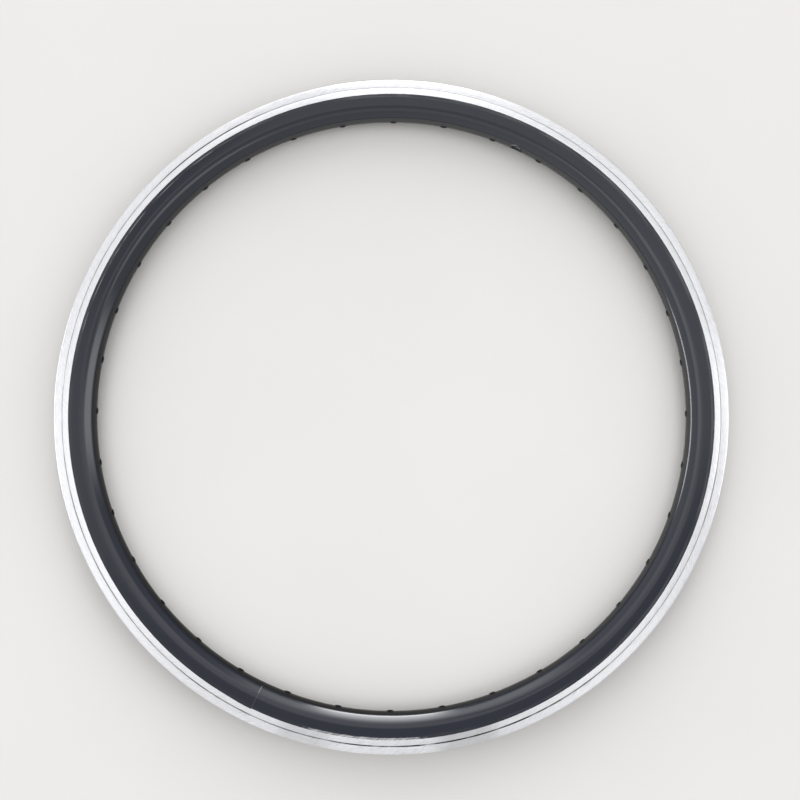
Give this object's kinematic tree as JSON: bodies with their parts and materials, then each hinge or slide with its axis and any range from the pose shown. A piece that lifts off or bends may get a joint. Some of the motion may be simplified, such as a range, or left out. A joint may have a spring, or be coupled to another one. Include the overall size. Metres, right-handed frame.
{
  "type": "bicycle rim",
  "caption": "Bare double-wall alloy bicycle rim: a hooked hollow hoop, black with bright machined brake tracks, drilled for spokes and a valve.",
  "frame": {"origin": "centre of the hoop, on the axle line at mid-width", "axes": "+Z along the axle line, up from the brake track it lies on; +X out through the valve hole"},
  "size_m": [0.5194, 0.5194, 0.024],
  "materials": {
    "black_anodised_alloy": "black anodised, with brake tracks machined bright",
    "mill_finish_alloy": "plain mill finish"
  },
  "bodies": {
    "root": {"rim_hoop": "black_anodised_alloy", "joint_sleeve": "mill_finish_alloy"}
  },
  "joints": []
}
